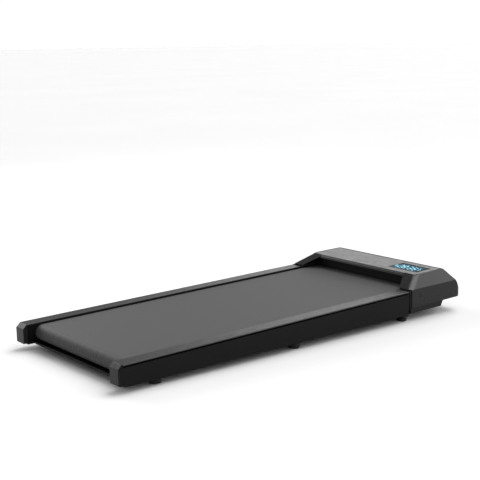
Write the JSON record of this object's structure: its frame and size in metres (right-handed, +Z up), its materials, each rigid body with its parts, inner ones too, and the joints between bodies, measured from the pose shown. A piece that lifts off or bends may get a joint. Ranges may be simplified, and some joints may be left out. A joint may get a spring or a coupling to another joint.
{
  "type": "treadmill",
  "caption": "Low under-desk walking treadmill: steel side beams with plastic treads, a wide walking belt, and a bevelled motor hood with a flush digit display.",
  "frame": {"origin": "middle of the object's box, on the floor plane that the feet stand on", "axes": "+X the walker's right, +Y along the belt towards the motor hood, +Z up"},
  "size_m": [0.5, 1.2105, 0.1258],
  "materials": {
    "black_painted_steel": "black powder coat, fine grain, satin",
    "turned_steel": "turned bare steel",
    "zinc_plated_steel": "bright zinc plating",
    "cast_aluminium": "turned casting",
    "charcoal_plastic": "moulded, fine-textured, satin",
    "graphite_satin_plastic": "satin panel",
    "black_plastic": "moulded, matte",
    "walking_belt_pvc": "fine-textured matte belting",
    "black_rubber": "matte rubber",
    "deck_fibreboard": "waxed fibreboard",
    "smoked_acrylic": "dark gloss window",
    "led_digits": "lit digit segments",
    "circuit_board_green": "solder-masked circuit board"
  },
  "bodies": {
    "frame": {"side_beam_left": "black_painted_steel", "side_beam_right": "black_painted_steel", "rear_crossbar": "black_painted_steel", "deck_support_rear": "black_painted_steel", "deck_support_front": "black_painted_steel", "motor_tray": "black_painted_steel", "motor_casing": "black_painted_steel", "motor_mount": "black_painted_steel", "rear_axle": "turned_steel", "front_axle": "turned_steel", "hood_screw_left": "zinc_plated_steel", "hood_screw_right": "zinc_plated_steel", "wheel_fork_left": "zinc_plated_steel", "wheel_fork_right": "zinc_plated_steel", "rail_cap_left": "charcoal_plastic", "rail_cap_right": "charcoal_plastic", "end_cap_left": "charcoal_plastic", "end_cap_right": "charcoal_plastic", "hood_shell": "charcoal_plastic", "top_panel": "graphite_satin_plastic", "belt_guard": "black_plastic", "belly_pan": "black_plastic", "power_inlet": "black_plastic", "switch_bezel": "black_plastic", "breaker_body": "black_plastic", "motor_cable": "black_plastic", "display_cable": "black_plastic", "walking_belt": "walking_belt_pvc", "drive_belt": "black_rubber", "deck_cushion_rear_left": "black_rubber", "deck_cushion_rear_right": "black_rubber", "deck_cushion_front_left": "black_rubber", "deck_cushion_front_right": "black_rubber", "rear_foot_left": "black_rubber", "rear_foot_right": "black_rubber", "middle_foot_left": "black_rubber", "middle_foot_right": "black_rubber", "front_foot_left": "black_rubber", "front_foot_right": "black_rubber", "deck_board": "deck_fibreboard", "display_window": "smoked_acrylic", "led_module": "led_digits", "display_board": "circuit_board_green", "controller_board": "circuit_board_green"},
    "front_roller_body": {"front_roller": "turned_steel", "roller_pulley": "black_plastic", "front_roller_bearing_left": "zinc_plated_steel", "front_roller_bearing_right": "zinc_plated_steel"},
    "rear_roller_body": {"rear_roller": "turned_steel", "rear_roller_bearing_left": "zinc_plated_steel", "rear_roller_bearing_right": "zinc_plated_steel"},
    "motor_rotor_body": {"motor_rotor": "turned_steel", "motor_flywheel": "cast_aluminium"},
    "transport_wheel_left_body": {"transport_wheel_left": "black_rubber"},
    "transport_wheel_right_body": {"transport_wheel_right": "black_rubber"},
    "tension_bolt_left_body": {"tension_bolt_left": "zinc_plated_steel"},
    "tension_bolt_right_body": {"tension_bolt_right": "zinc_plated_steel"},
    "power_rocker_body": {"power_rocker": "black_plastic"},
    "breaker_button_body": {"breaker_button": "black_plastic"}
  },
  "joints": [
    {"name": "front_roller_spin", "type": "hinge", "parent": "frame", "child": "front_roller_body", "pos_m": [0, 0.45485, 0.06433], "axis": [1, 0, 0], "continuous": true},
    {"name": "rear_roller_spin", "type": "hinge", "parent": "frame", "child": "rear_roller_body", "pos_m": [0, -0.55098, 0.04589], "axis": [1, 0, 0], "continuous": true},
    {"name": "motor_spin", "type": "hinge", "parent": "frame", "child": "motor_rotor_body", "pos_m": [0, 0.52462, 0.07771], "axis": [1, 0, 0], "continuous": true},
    {"name": "transport_wheel_left_spin", "type": "hinge", "parent": "frame", "child": "transport_wheel_left_body", "pos_m": [-0.17, 0.55666, 0.02099], "axis": [1, 0, 0], "continuous": true},
    {"name": "transport_wheel_right_spin", "type": "hinge", "parent": "frame", "child": "transport_wheel_right_body", "pos_m": [0.17, 0.55666, 0.02099], "axis": [1, 0, 0], "continuous": true},
    {"name": "tension_bolt_left_turn", "type": "hinge", "parent": "frame", "child": "tension_bolt_left_body", "pos_m": [-0.228, -0.57988, 0.04536], "axis": [0, 0.9998, 0.0183], "continuous": true},
    {"name": "tension_bolt_right_turn", "type": "hinge", "parent": "frame", "child": "tension_bolt_right_body", "pos_m": [0.228, -0.57988, 0.04536], "axis": [0, 0.9998, 0.0183], "continuous": true},
    {"name": "power_rocker_tip", "type": "hinge", "parent": "frame", "child": "power_rocker_body", "pos_m": [0.108, 0.58186, 0.05926], "axis": [1, 0, 0], "range_deg": [0, 16]},
    {"name": "breaker_button_slide", "type": "slide", "parent": "frame", "child": "breaker_button_body", "axis": [0, 0.9998, 0.0183], "range_m": [0, 0.003]}
  ],
  "couplings": [
    {"joint": "rear_roller_spin", "follows": "front_roller_spin", "ratio": 1},
    {"joint": "motor_spin", "follows": "front_roller_spin", "ratio": 2.8421}
  ]
}
